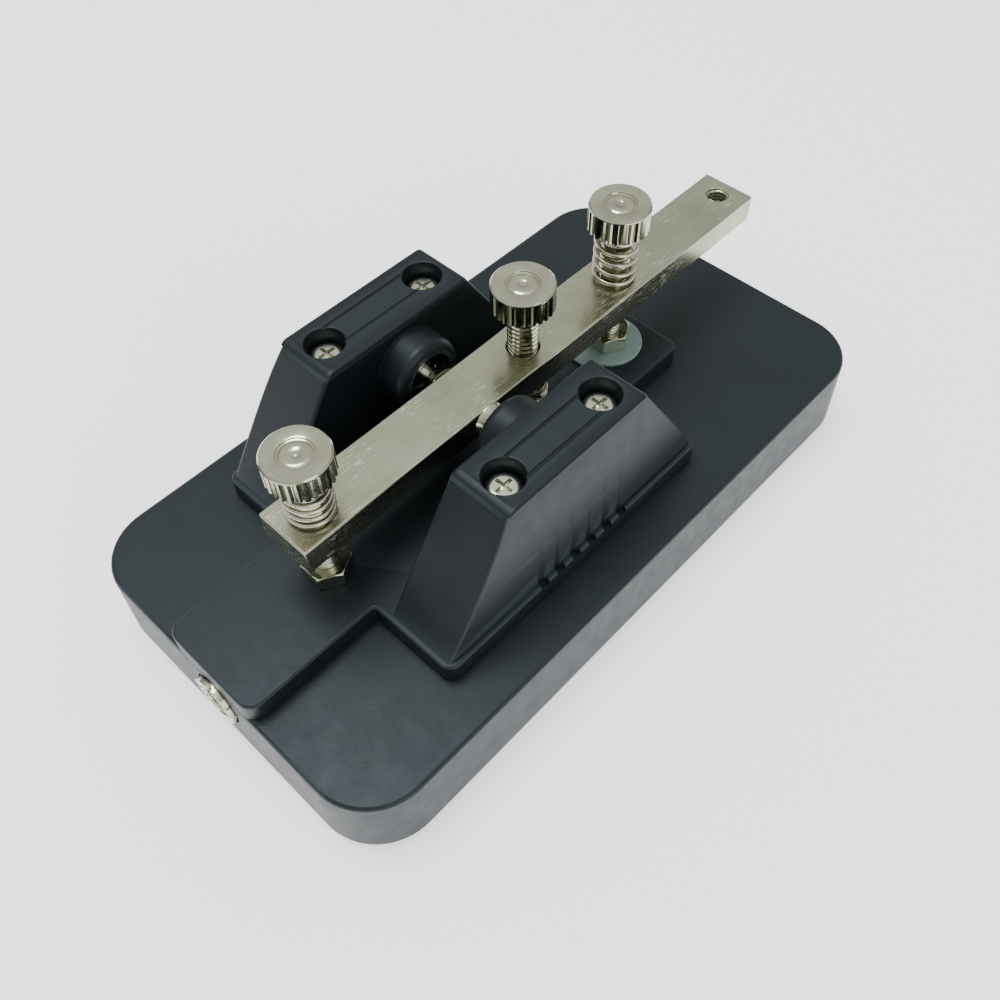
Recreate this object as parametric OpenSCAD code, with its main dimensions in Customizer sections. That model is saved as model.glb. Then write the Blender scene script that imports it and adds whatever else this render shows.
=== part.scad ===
/* [Base] */
// Width of the base, side to side
base_w = 54; // [54:1:60]
// Length of the base, from the knob end to the socket end
base_l = 99; // [98:1:104]
// Corner radius of the base in plan
base_r = 8.5; // [8:0.5:12]
// Height of the base's top above the surface that it stands on
base_top = 12; // [12:0.5:14]
// Height of the raised platform above the base's top
platform_rise = 3.2; // [2.8:0.1:3.6]
// Thickness of the side walls
wall = 2; // [1.8:0.1:2.4]
// Height of the rubber feet below the bottom plate
foot_h = 1; // [0.6:0.1:1.4]

/* [Lever] */
// Width of the lever bar
lever_w = 8; // [7:0.5:9]
// Thickness of the lever bar
lever_t = 4; // [4:0.5:5]
// Distance of the lever's rear end behind the middle of the base
lever_rear = 35; // [34:0.5:40]
// Distance of the lever's front end before the middle of the base
lever_front = 48; // [47:0.5:48.5]
// Height of the pivot above the platform
pivot_rise = 10.4; // [10:0.2:12]
// Distance of the pivot behind the middle of the base
pivot_y = 6.4; // [5.8:0.2:7]
// Place of the knob's threaded hole along the base
knob_y = -45; // [-45.5:0.5:-42]

/* [Adjusting screws] */
// Place of the gap screw along the base
gap_y = 30.6; // [30:0.2:31]
// Place of the return spring's screw along the base
tension_y = -4; // [-4.6:0.2:-3.6]
// Place of the contact screw along the base
contact_y = -21.8; // [-22.6:0.2:-21]
// Radius of each knurled head
thumb_r = 4; // [3.6:0.1:4.4]
// Height of each knurled head
thumb_h = 3.6; // [3:0.1:4.4]
// Number of knurl teeth round a head
knurl_teeth = 26; // [20:1:32]
// Open gap between the contact screw and the contact bolt
contact_gap = 0.62; // [0.6:0.02:1]

/* [Pillars] */
// Distance of a pillar's inner face from the lever's centre line
pillar_in = 10.2; // [10:0.1:10.6]
// Distance of a pillar's foot, on its outer side, from the lever's centre line
pillar_out = 19.9; // [19.6:0.1:20.2]
// Height of a pillar's top above the pivot
pillar_over = 6.6; // [6.4:0.2:8]
// Number of grip flutes on each pillar's outer face
flute_count = 6; // [3:1:6]

/* [Hidden] */
$fn = 64;

black_plastic = "#2b2f36";
dark_steel = "#3c3f43";
nickel = "#b9b8a8";
zinc = "#8fa19d";
brass = "#b8a260";
eps = 0.05;

// Base shell: a closed box with the bottom plate let into its lower edge
plate_t = 1.5;
rim = 1.2;
plate_play = 0.15;
roof_t = 2.5;
platform_top = base_top + platform_rise;
hollow_z = foot_h + plate_t;
platform_roof = 3;
ceiling_z = platform_top - platform_roof;
platform_r = 1.5;
ledge = 0.8;
band_half = 8;
band_front = -28.5;
band_wall = 1.8;
plate_post = [base_w / 2 - 6.2, base_l / 2 - 6.2];
plate_post_r = 3;
plate_screw_r = 1.1;
plate_head_r = 2.2;
plate_head_h = 1.1;
plate_screw_l = 6.5;
foot_at = [base_w / 2 - 8, base_l / 2 - 15];
foot_r = 4.5;

// Pillars: a trapezoid from the side, with a boss for the bearing on its inner face
pivot_z = platform_top + pivot_rise;
pillar_top = pivot_z + pillar_over;
pillar_mid_y = pivot_y + 0.6;
pillar_top_half = 11.5;
pillar_foot_rear = pillar_mid_y + 22.6;
pillar_foot_front = pillar_mid_y - 22.2;
pillar_rear_round = 2;
pillar_front_round = 0.7;
pillar_wall = 2;
pillar_core_top = pivot_z - 0.2;
pillar_lip = 0.5;
pillar_lean = 0.9;
pillar_screw_x = 14.8;
pillar_screw_ys = [pillar_mid_y - 8.1, pillar_mid_y + 8.1];
pillar_column_r = 3;
counterbore_r = 2.5;
counterbore_floor = pillar_top - 3.4;
self_tap_r = 1.25;
self_tap_head_r = 2.3;
self_tap_head_h = 1.6;
self_tap_l = 20;
strip_w = 3.6;
strip_depth = 0.3;
flute_r = 0.75;
flute_pitch = 2.9;
flute_top = pivot_z + 1;
flute_bottom = platform_top - 0.8;

// Pivot: a 2 mm axle in two 2 x 6 x 3 mm ball bearings
axle_r = 1;
axle_half = 10.5;
bearing_r = 3;
bearing_w = 3;
bearing_face = 7.6;
outer_ring_t = 0.55;
inner_ring_t = 0.6;
ball_r = 0.4;
ball_count = 7;
ball_path_r = 2.025;
shield_in = 1.75;
shield_t = 0.25;
boss_r = 5;
boss_face = 6;
boss_round = 1.2;
boss_step_r = 3.3;
axle_room_r = 2;
axle_room_end = 11.2;
spacer_wide_r = 2.4;
spacer_neck_r = 1.3;
spacer_cone = 2;

// M3 hardware through the platform
bolt_r = 1.5;
bolt_hole_r = 1.6;
bolt_l = 8;
bolt_head_r = 2.8;
bolt_head_h = 2;
lug_t = 0.5;
lug_r = 3;
lug_tail_l = 5.6;
lug_tail_w = 2.6;
bolt_seat_z = ceiling_z - lug_t;
bolt_end_z = bolt_seat_z + bolt_l;
nut_corner_r = 5.5 / sqrt(3);
nut_h = 2.4;
washer_r = 5;
washer_t = 0.5;
washer_tail_w = 4.6;
washer_tail_l = 6.2;
seat_screw_l = 5;

// Lever and M4 adjusting screws
lever_top = pivot_z + lever_t / 2;
lever_bottom = pivot_z - lever_t / 2;
thread_r = 2;
tapped_r = 2.05;
tapped_mouth_r = 2.35;
tapped_mouth_h = 0.3;
knob_hole_r = 1.25;
knob_mouth_r = 1.65;
knob_mouth_h = 0.4;
tip_r = 1.2;
tip_h = 0.7;
touch = 0.02;
gap_head_z = lever_top + 6.5;
contact_head_z = lever_top + 8;
tension_head_z = lever_top + 6.7;
head_rim_h = 0.7;
head_ring_r = 2;
head_ring_w = 0.4;
head_ring_depth = 0.25;
knurl_depth = 0.3;

// Springs
lock_spring_r = 2.65;
lock_wire_r = 0.3;
lock_turns = 5.5;
return_spring_r = 3.05;
return_wire_r = 0.3;
return_turns = 4.5;
seat_flange_r = 3.6;
seat_flange_h = 1;
seat_spigot_r = 2.6;
seat_spigot_h = 1.6;
return_spring_z = platform_top + seat_flange_h;
return_spring_end = 20.7;
cap_r = 3.1;
cap_top_t = 0.8;
cap_spigot_r = 2.5;
cap_spigot_h = 0.6;
cap_top_z = return_spring_end + cap_top_t;

// Jack: a 3.5 mm socket behind the end wall
jack_z = foot_h + 7.2;
jack_nut_r = 3.5;
jack_nut_t = 1.2;
jack_nut_proud = 0.4;
jack_thread_r = 2.5;
jack_nut_play = 0.2;
jack_slot_w = 0.8;
jack_slot_depth = 0.4;
jack_pad_w = 13;
jack_bore_r = 1.8;
jack_lead_r = 2.05;
jack_pad_y = base_l / 2 - wall - 1.2;
jack_body_w = 8.8;
jack_body_h = 6.4;
jack_body_l = 11.3;
jack_bush_l = 4.8;
jack_face_y = base_l / 2 + jack_nut_proud;
jack_mouth_y = jack_face_y - 0.2;
jack_tag_w = 2;
jack_tag_t = 0.4;
jack_tag_l = 3;
jack_tag_xs = [-2.6, 0, 2.6];

// Wires under the platform, drawn from the socket's tags to the lugs
cable_r = 0.6;
contact_route = [[2.6, 31.8, 7.6], [3.6, 27, 5.4], [6.4, 16, 4.6], [6.8, 2, 4.6], [6.4, -12, 5],
    [5.4, -19, 6.6], [4.8, -21.4, 9.2], [4.8, -21.8, 11.6]];
seat_route = [[-2.6, 31.8, 7.6], [-3.6, 27, 5.4], [-6.2, 18, 4.6], [-6.4, 8, 4.8], [-5.6, -0.6, 6.4],
    [-4.8, -3.6, 9.2], [-4.8, -4, 11.6]];

// Points of an arc about a centre
function arc(centre, r, from, to, steps) =
    [for (i = [0:steps]) let (a = from + (to - from) * i / steps) centre + r * [cos(a), sin(a)]];

// Points that round the corner at b of the path a, b, c
function rounded(a, b, c, r, steps = 6) =
    let (u = (a - b) / norm(a - b), v = (c - b) / norm(c - b),
        half = acos(u * v) / 2,
        centre = b + (u + v) / norm(u + v) * r / sin(half),
        p = b + u * r / tan(half) - centre,
        q = b + v * r / tan(half) - centre,
        from = atan2(p[1], p[0]),
        turn = (atan2(q[1], q[0]) - from + 540) % 360 - 180)
    arc(centre, r, from, from + turn, steps);

// Triangles that close a tube of rings, each with the same number of points
function tube_faces(rings, sides) = concat(
    [[for (k = [0:sides - 1]) k]],
    [for (i = [0:rings - 2]) for (k = [0:sides - 1]) let (n = (k + 1) % sides)
        each [[i * sides + k, (i + 1) * sides + k, i * sides + n],
            [i * sides + n, (i + 1) * sides + k, (i + 1) * sides + n]]],
    [[for (k = [0:sides - 1]) rings * sides - 1 - k]]);

// A point on the smooth curve through b and c, a share t of the way
function spline(a, b, c, d, t) = 0.5 * (2 * b + (c - a) * t + (2 * a - 5 * b + 4 * c - d) * t * t
    + (3 * b - a - 3 * c + d) * t * t * t);

// The route's own points with more between them
function smooth(route, steps = 4) = let (last = len(route) - 1) concat(
    [for (i = [0:last - 1]) for (s = [0:steps - 1])
        spline(route[max(i - 1, 0)], route[i], route[i + 1], route[min(i + 2, last)], s / steps)],
    [route[last]]);

// A round wire swept along a route that never runs along X
module cable(route, r, sides = 8) {
    path = smooth(route);
    last = len(path) - 1;
    rings = [for (i = [0:last]) let (
            along = path[min(i + 1, last)] - path[max(i - 1, 0)],
            t = along / norm(along),
            side = [1, 0, 0] - t * t[0],
            u = side / norm(side),
            v = cross(t, u))
        for (k = [0:sides - 1]) path[i] + r * (cos(360 * k / sides) * u + sin(360 * k / sides) * v)];
    polyhedron(rings, tube_faces(last + 1, sides));
}

// A coil spring that stands between two heights, its end turns lying flat
module coil(mean_r, wire_r, turns, low, high, sides = 8, per_turn = 16) {
    steps = round(turns * per_turn);
    rise = high - low - 2 * wire_r;
    points = [for (i = [0:steps]) let (
            a = 360 * turns * i / steps,
            climb = min(max((i / steps * turns - 0.75) / (turns - 1.5), 0), 1),
            seat = wire_r * 2 * (min(i / steps * turns, 0.75) + max(i / steps * turns - turns + 0.75, 0)),
            z = low + wire_r + seat + climb * (rise - 3 * wire_r))
        for (k = [0:sides - 1]) let (b = -360 * (k + 0.5) / sides, r = mean_r + wire_r * cos(b))
            [r * cos(a), r * sin(a), z + wire_r * sin(b)]];
    polyhedron(points, tube_faces(steps + 1, sides));
}

// A flat plate with rounded corners, centred on the origin and standing on it
module rounded_plate(w, l, r, h) {
    linear_extrude(h) {
        square([w - 2 * r, l], center = true);
        square([w, l - 2 * r], center = true);
        for (x = [-1, 1], y = [-1, 1])
            translate([x * (w / 2 - r), y * (l / 2 - r)]) circle(r);
    }
}

// Turns a shape drawn along Z so that it runs along X
module along_x() { rotate([0, 90, 0]) children(); }

// Turns a shape drawn along Z so that it runs along Y
module along_y() { rotate([-90, 0, 0]) children(); }

// Copies for the left and the right of the key
module both_sides() { for (s = [0, 1]) mirror([s, 0, 0]) children(); }

// Copies at the four corners of a rectangle
module four_corners(at) {
    for (x = [-1, 1], y = [-1, 1]) translate([x * at[0], y * at[1], 0]) children();
}

// The places of the four screws that hold the pillars down
module at_pillar_screws() {
    for (x = [-1, 1], y = pillar_screw_ys) translate([x * pillar_screw_x, y, 0]) children();
}

module ring(outer, inner, h) {
    difference() {
        cylinder(r = outer, h = h);
        translate([0, 0, -eps]) cylinder(r = inner, h = h + 2 * eps);
    }
}

// The platform: a band from the end wall to the contact, wider under the pillars
module platform_solid() {
    band_l = base_l / 2 - band_front;
    translate([0, band_front + band_l / 2, base_top - eps])
        rounded_plate(2 * band_half, band_l, platform_r, platform_rise + eps);
    plateau_l = pillar_foot_rear - pillar_foot_front + 2 * ledge;
    translate([0, (pillar_foot_rear + pillar_foot_front) / 2, base_top - eps])
        rounded_plate(2 * (pillar_out + ledge), plateau_l, platform_r, platform_rise + eps);
}

// The room inside the base, with its posts and screw columns left standing
module base_room() {
    difference() {
        union() {
            translate([0, 0, hollow_z - eps])
                rounded_plate(base_w - 2 * wall, base_l - 2 * wall, base_r - wall,
                    base_top - roof_t - hollow_z + eps);
            plateau_l = pillar_foot_rear - pillar_foot_front - 2 * wall;
            translate([-pillar_out + wall, pillar_foot_front + wall, hollow_z])
                cube([2 * (pillar_out - wall), plateau_l, ceiling_z - hollow_z]);
            translate([-band_half + band_wall, band_front + wall, hollow_z])
                cube([2 * (band_half - band_wall), jack_pad_y - band_front - wall, ceiling_z - hollow_z]);
        }
        four_corners(plate_post) translate([0, 0, hollow_z]) cylinder(r = plate_post_r, h = base_top);
        at_pillar_screws() translate([0, 0, 5.6]) cylinder(r = pillar_column_r, h = base_top);
        translate([-jack_pad_w / 2, jack_pad_y, 0]) cube([jack_pad_w, base_l, base_top]);
    }
}

module base_shell() {
    color(black_plastic) difference() {
        union() {
            translate([0, 0, foot_h]) rounded_plate(base_w, base_l, base_r, base_top - foot_h);
            platform_solid();
        }
        translate([0, 0, foot_h - eps])
            rounded_plate(base_w - 2 * rim, base_l - 2 * rim, base_r - rim, plate_t + eps);
        base_room();
        four_corners(plate_post) translate([0, 0, hollow_z - eps]) cylinder(r = plate_screw_r, h = 5.8);
        at_pillar_screws() translate([0, 0, 6.6]) cylinder(r = self_tap_r, h = platform_top);
        for (y = [contact_y, tension_y, gap_y])
            translate([0, y, ceiling_z - eps]) cylinder(r = bolt_hole_r, h = platform_roof + 2 * eps);
        translate([0, jack_pad_y - eps, jack_z]) along_y() cylinder(r = jack_thread_r, h = 2 * wall);
        translate([0, jack_face_y - jack_nut_t, jack_z]) along_y()
            cylinder(r = jack_nut_r + jack_nut_play, h = jack_nut_t);
        both_sides() flutes();
    }
}

module bottom_plate() {
    color(dark_steel) difference() {
        translate([0, 0, foot_h])
            rounded_plate(base_w - 2 * (rim + plate_play), base_l - 2 * (rim + plate_play),
                base_r - rim - plate_play, plate_t);
        four_corners(plate_post) plate_screw_hole();
    }
}

module plate_screw_hole() {
    translate([0, 0, foot_h - eps]) cylinder(r = plate_screw_r, h = plate_t + 2 * eps);
    translate([0, 0, foot_h]) cylinder(r1 = plate_head_r, r2 = plate_screw_r, h = plate_head_h);
}

module plate_screws() {
    color(nickel) four_corners(plate_post) difference() {
        translate([0, 0, foot_h]) union() {
            cylinder(r1 = plate_head_r, r2 = plate_screw_r, h = plate_head_h);
            cylinder(r = plate_screw_r, h = plate_screw_l);
        }
        cross_slot(foot_h - eps, plate_head_r * 1.2, 0.5, 0.7);
    }
}

// Phillips recess, cut upwards from a height
module cross_slot(z, length, width, depth) {
    for (turn = [0, 90])
        rotate([0, 0, turn]) translate([-length / 2, -width / 2, z]) cube([length, width, depth]);
}

module rubber_feet() {
    color("#1b1b1c") four_corners(foot_at) cylinder(r = foot_r, h = foot_h);
}

// A pillar's outline from the side, Y to the right and Z up
function pillar_side(inset = 0) = let (
        rear_foot = [pillar_foot_rear - inset, platform_top],
        rear_top = [pillar_mid_y + pillar_top_half - inset, pillar_top],
        front_top = [pillar_mid_y - pillar_top_half + inset, pillar_top],
        front_foot = [pillar_foot_front + inset, platform_top])
    concat([rear_foot], rounded(rear_foot, rear_top, front_top, pillar_rear_round),
        rounded(rear_top, front_top, front_foot, pillar_front_round), [front_foot]);

// A pillar's outline from the end: a lip at the top, then a face that swells to the foot
function pillar_end() = let (swell_top = pillar_top - pillar_lip, rise = swell_top - platform_top)
    concat([[pillar_in, platform_top], [pillar_in, pillar_top],
        [pillar_out - pillar_lean, pillar_top], [pillar_out - pillar_lean, swell_top + 0.15]],
        [for (i = [0:6]) let (t = i / 6)
            [pillar_out - pillar_lean * (1 - t) * (1 - t), swell_top - rise * t]]);

module pillar_block() {
    intersection() {
        rotate([90, 0, 90]) linear_extrude(2 * pillar_out) polygon(pillar_side());
        translate([0, base_l / 2, 0]) rotate([90, 0, 0]) linear_extrude(base_l) polygon(pillar_end());
    }
}

// The room inside a pillar, open at its foot
module pillar_room() {
    difference() {
        intersection() {
            translate([pillar_in + pillar_wall, 0, 0]) rotate([90, 0, 90])
                linear_extrude(pillar_out - pillar_in - 2 * pillar_wall - pillar_lean)
                polygon(pillar_side(pillar_wall + 0.6));
            translate([0, -base_l / 2, platform_top - eps])
                cube([base_w, base_l, pillar_core_top - platform_top]);
        }
        for (y = pillar_screw_ys) translate([pillar_screw_x, y, 0]) cylinder(r = pillar_column_r, h = pillar_top);
    }
}

// Boss round the bearing, drawn from its face towards the pillar
module bearing_boss() {
    length = pillar_in - boss_face + 1;
    translate([boss_face, pivot_y, pivot_z]) along_x() rotate_extrude()
        polygon(concat([[0, 0]], arc([boss_r - boss_round, boss_round], boss_round, -90, 0, 6),
            [[boss_r, length], [0, length]]));
}

module bearing_seat() {
    translate([0, pivot_y, pivot_z]) along_x() {
        translate([0, 0, boss_face - eps]) cylinder(r = boss_step_r, h = bearing_face - boss_face + eps);
        translate([0, 0, boss_face]) cylinder(r = bearing_r, h = bearing_face + bearing_w - boss_face);
        translate([0, 0, boss_face]) cylinder(r = axle_room_r, h = axle_room_end - boss_face);
    }
}

// Grip flutes down the outer face, running out over the edge of the platform
module flutes() {
    for (i = [0:flute_count - 1])
        translate([pillar_out + 0.45, pillar_mid_y + (i - (flute_count - 1) / 2) * flute_pitch, flute_bottom])
            cylinder(r = flute_r, h = flute_top - flute_bottom, $fn = 24);
}

module pillar() {
    color(black_plastic) difference() {
        union() {
            pillar_block();
            bearing_boss();
        }
        pillar_room();
        bearing_seat();
        for (y = pillar_screw_ys) translate([pillar_screw_x, y, 0]) {
            translate([0, 0, counterbore_floor]) cylinder(r = counterbore_r, h = pillar_top);
            translate([0, 0, platform_top - eps]) cylinder(r = self_tap_r + 0.15, h = pillar_top);
        }
        translate([pillar_screw_x - strip_w / 2, pillar_screw_ys[0], pillar_top - strip_depth])
            cube([strip_w, pillar_screw_ys[1] - pillar_screw_ys[0], strip_depth + eps]);
        flutes();
    }
}

module left_pillar() { mirror([1, 0, 0]) pillar(); }

module right_pillar() { pillar(); }

module pillar_screws() {
    head_z = counterbore_floor;
    color(nickel) at_pillar_screws() difference() {
        union() {
            translate([0, 0, head_z - self_tap_l]) cylinder(r = self_tap_r, h = self_tap_l + eps);
            translate([0, 0, head_z]) rotate_extrude() polygon(concat([[0, 0], [self_tap_head_r, 0]],
                arc([self_tap_head_r - 1, self_tap_head_h - 1], 1, 0, 90, 5), [[0, self_tap_head_h]]));
        }
        cross_slot(head_z + self_tap_head_h - 0.9, 2.4, 0.5, 1);
    }
}

module bearing_outer_rings() {
    color(nickel) both_sides() translate([bearing_face, pivot_y, pivot_z]) along_x()
        ring(bearing_r, bearing_r - outer_ring_t, bearing_w);
}

module bearing_inner_rings() {
    color(nickel) both_sides() translate([bearing_face, pivot_y, pivot_z]) along_x()
        ring(axle_r + inner_ring_t, axle_r, bearing_w);
}

module bearing_shields() {
    color(zinc) both_sides() translate([bearing_face + 0.1, pivot_y, pivot_z]) along_x()
        ring(bearing_r - outer_ring_t, shield_in, shield_t);
}

module bearing_balls() {
    color(nickel) both_sides() for (i = [0:ball_count - 1])
        translate([bearing_face + bearing_w / 2, pivot_y, pivot_z]) rotate([360 * i / ball_count, 0, 0])
            translate([0, ball_path_r, 0]) sphere(ball_r, $fn = 24);
}

// M3 pan-head bolt that rises from a seat under the platform
module rising_bolt(y, length) {
    translate([0, y, bolt_seat_z]) difference() {
        union() {
            cylinder(r = bolt_r, h = length - 0.4);
            translate([0, 0, length - 0.4]) cylinder(r1 = bolt_r, r2 = bolt_r - 0.4, h = 0.4);
            translate([0, 0, -bolt_head_h]) cylinder(r = bolt_head_r, h = bolt_head_h);
        }
        cross_slot(-bolt_head_h - eps, 3.2, 0.7, 1.1);
    }
}

// M3 hexagon nut with chamfered corners
module hex_nut(y, z) {
    translate([0, y, z]) difference() {
        intersection() {
            cylinder(r = nut_corner_r, h = nut_h, $fn = 6);
            rotate_extrude() polygon([[0, 0], [nut_corner_r - 0.4, 0], [nut_corner_r + 0.05, 0.3],
                [nut_corner_r + 0.05, nut_h - 0.3], [nut_corner_r - 0.4, nut_h], [0, nut_h]]);
        }
        translate([0, 0, -eps]) cylinder(r = bolt_r, h = nut_h + 2 * eps);
    }
}

// Solder lug clamped under a bolt's head, its tail to one side
module lug(y, side) {
    translate([0, y, bolt_seat_z]) difference() {
        union() {
            cylinder(r = lug_r, h = lug_t);
            mirror([side < 0 ? 1 : 0, 0, 0]) translate([0, -lug_tail_w / 2, 0])
                cube([lug_tail_l, lug_tail_w, lug_t]);
        }
        translate([0, 0, -eps]) cylinder(r = bolt_r, h = lug_t + 2 * eps);
    }
}

module contact_bolt() { color(nickel) rising_bolt(contact_y, bolt_l); }

module stop_bolt() { color(nickel) rising_bolt(gap_y, bolt_l); }

module seat_screw() { color(nickel) rising_bolt(tension_y, seat_screw_l); }

module contact_lug() { color(brass) lug(contact_y, 1); }

module seat_lug() { color(brass) lug(tension_y, -1); }

module stop_washer() { color(zinc) translate([0, gap_y, bolt_seat_z]) ring(lug_r, bolt_r, lug_t); }

module contact_nut() { color(nickel) hex_nut(contact_y, platform_top + washer_t); }

module stop_nut() { color(nickel) hex_nut(gap_y, platform_top); }

// Round washer under the contact nut, with a square tab towards the pivot
module contact_washer() {
    color(zinc) translate([0, contact_y, platform_top]) difference() {
        union() {
            cylinder(r = washer_r, h = washer_t);
            translate([-washer_tail_w / 2, 0, 0]) cube([washer_tail_w, washer_tail_l, washer_t]);
        }
        translate([0, 0, -eps]) cylinder(r = bolt_r, h = washer_t + 2 * eps);
    }
}

module spring_seat() {
    color(brass) translate([0, tension_y, platform_top]) difference() {
        union() {
            cylinder(r = seat_flange_r, h = seat_flange_h);
            cylinder(r = seat_spigot_r, h = seat_flange_h + seat_spigot_h);
        }
        translate([0, 0, -eps]) cylinder(r = bolt_r, h = seat_flange_h + seat_spigot_h - 0.6);
    }
}

module tension_spring() {
    color(nickel) translate([0, tension_y, 0])
        coil(return_spring_r, return_wire_r, return_turns, return_spring_z + touch, return_spring_end - touch);
}

module jack_body() {
    front = jack_pad_y;
    color(black_plastic) difference() {
        translate([-jack_body_w / 2, front - jack_body_l, jack_z - jack_body_h / 2])
            cube([jack_body_w, jack_body_l, jack_body_h]);
        translate([0, front - jack_bush_l, jack_z]) along_y() cylinder(r = jack_thread_r, h = jack_body_l);
        translate([0, front - jack_body_l + 1.2, jack_z]) along_y() cylinder(r = jack_lead_r, h = jack_body_l);
    }
}

// Threaded bush: a 3.6 mm bore behind a wider mouth that guides the plug in
module jack_bush() {
    back = jack_pad_y - jack_bush_l;
    color(nickel) difference() {
        translate([0, back, jack_z]) along_y() cylinder(r = jack_thread_r, h = jack_mouth_y - back);
        translate([0, back - eps, jack_z]) along_y() cylinder(r = jack_bore_r, h = base_l);
        translate([0, jack_pad_y, jack_z]) along_y() cylinder(r = jack_lead_r, h = base_l);
    }
}

module jack_ring_nut() {
    color(nickel) difference() {
        translate([0, jack_face_y - jack_nut_t, jack_z]) along_y() ring(jack_nut_r, jack_thread_r, jack_nut_t);
        for (turn = [0, 90]) translate([0, jack_face_y - jack_slot_depth, jack_z]) rotate([0, turn, 0])
            translate([-jack_nut_r - eps, 0, -jack_slot_w / 2])
                cube([2 * (jack_nut_r + eps), 1, jack_slot_w]);
    }
}

module jack_tags() {
    back = jack_pad_y - jack_body_l;
    color(brass) for (x = jack_tag_xs)
        translate([x - jack_tag_w / 2, back - jack_tag_l, jack_z - jack_tag_t / 2])
            cube([jack_tag_w, jack_tag_l, jack_tag_t]);
}

module contact_wire() { color("#a5231f") cable(contact_route, cable_r); }

module seat_wire() { color("#1f1f22") cable(seat_route, cable_r); }

module lever_bar() {
    color(nickel) difference() {
        translate([-lever_w / 2, -lever_front, lever_bottom]) cube([lever_w, lever_front + lever_rear, lever_t]);
        for (y = [gap_y, tension_y, contact_y]) translate([0, y, lever_bottom - eps]) {
            cylinder(r = tapped_r, h = lever_t + 2 * eps);
            translate([0, 0, lever_t + eps - tapped_mouth_h])
                cylinder(r1 = tapped_r, r2 = tapped_mouth_r, h = tapped_mouth_h);
        }
        translate([0, knob_y, lever_bottom - eps]) cylinder(r = knob_hole_r, h = lever_t + 2 * eps);
        translate([0, knob_y, lever_top - knob_mouth_h])
            cylinder(r1 = knob_hole_r, r2 = knob_mouth_r, h = knob_mouth_h);
        translate([-lever_w, pivot_y, pivot_z]) along_x() cylinder(r = axle_r, h = 2 * lever_w);
    }
}

module pivot_axle() {
    color(nickel) translate([-axle_half, pivot_y, pivot_z]) along_x() cylinder(r = axle_r, h = 2 * axle_half);
}

// Cone-shaped spacers that keep the bearings off the lever
module axle_spacers() {
    length = bearing_face - lever_w / 2;
    color(nickel) both_sides() translate([lever_w / 2, pivot_y, pivot_z]) along_x() difference() {
        union() {
            cylinder(r1 = spacer_wide_r, r2 = spacer_neck_r, h = spacer_cone);
            cylinder(r = spacer_neck_r, h = length);
        }
        translate([0, 0, -eps]) cylinder(r = axle_r, h = length + 2 * eps);
    }
}

// Outline of a knurled head: flat-topped teeth round a circle
function knurl() = [for (i = [0:knurl_teeth - 1]) for (corner = [[0, 0], [0.22, 1], [0.66, 1], [0.88, 0]])
    let (a = 360 * (i + corner[0]) / knurl_teeth, r = thumb_r - 0.08 - knurl_depth * (1 - corner[1]))
    r * [cos(a), sin(a)]];

// M4 thumb screw with its head on top and a turned-down tip
module thumb_screw(y, head_z, tip_z) {
    color(nickel) translate([0, y, 0]) difference() {
        union() {
            translate([0, 0, tip_z]) cylinder(r = tip_r, h = tip_h + eps);
            translate([0, 0, tip_z + tip_h]) cylinder(r = thread_r, h = head_z - tip_z - tip_h + eps);
            translate([0, 0, head_z]) linear_extrude(thumb_h - head_rim_h + eps) polygon(knurl());
            translate([0, 0, head_z + thumb_h - head_rim_h]) cylinder(r = thumb_r, h = head_rim_h);
        }
        translate([0, 0, head_z + thumb_h - head_ring_depth])
            ring(head_ring_r + head_ring_w / 2, head_ring_r - head_ring_w / 2, head_ring_depth + eps);
    }
}

module gap_screw() { thumb_screw(gap_y, gap_head_z, bolt_end_z + touch); }

module contact_screw() { thumb_screw(contact_y, contact_head_z, bolt_end_z + contact_gap); }

module tension_screw() { thumb_screw(tension_y, tension_head_z, cap_top_z + touch); }

module lock_spring(y, head_z) {
    color(nickel) translate([0, y, 0])
        coil(lock_spring_r, lock_wire_r, lock_turns, lever_top + touch, head_z - touch);
}

module gap_lock_spring() { lock_spring(gap_y, gap_head_z); }

module contact_lock_spring() { lock_spring(contact_y, contact_head_z); }

// Cap on the return spring that the spring's screw presses on
module tension_cap() {
    color(nickel) translate([0, tension_y, return_spring_end]) {
        cylinder(r = cap_r, h = cap_top_t);
        translate([0, 0, -cap_spigot_h]) cylinder(r = cap_spigot_r, h = cap_spigot_h + eps);
    }
}

base_shell();
bottom_plate();
plate_screws();
rubber_feet();
left_pillar();
right_pillar();
pillar_screws();
bearing_outer_rings();
bearing_shields();
bearing_balls();
contact_bolt();
contact_washer();
contact_nut();
contact_lug();
stop_bolt();
stop_washer();
stop_nut();
spring_seat();
seat_screw();
seat_lug();
tension_spring();
jack_body();
jack_bush();
jack_ring_nut();
jack_tags();
contact_wire();
seat_wire();
lever_bar();
pivot_axle();
axle_spacers();
bearing_inner_rings();
gap_lock_spring();
gap_screw();
contact_lock_spring();
contact_screw();
tension_cap();
tension_screw();
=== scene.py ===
import math

import bmesh
import bpy
from mathutils import Matrix, Vector


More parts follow.
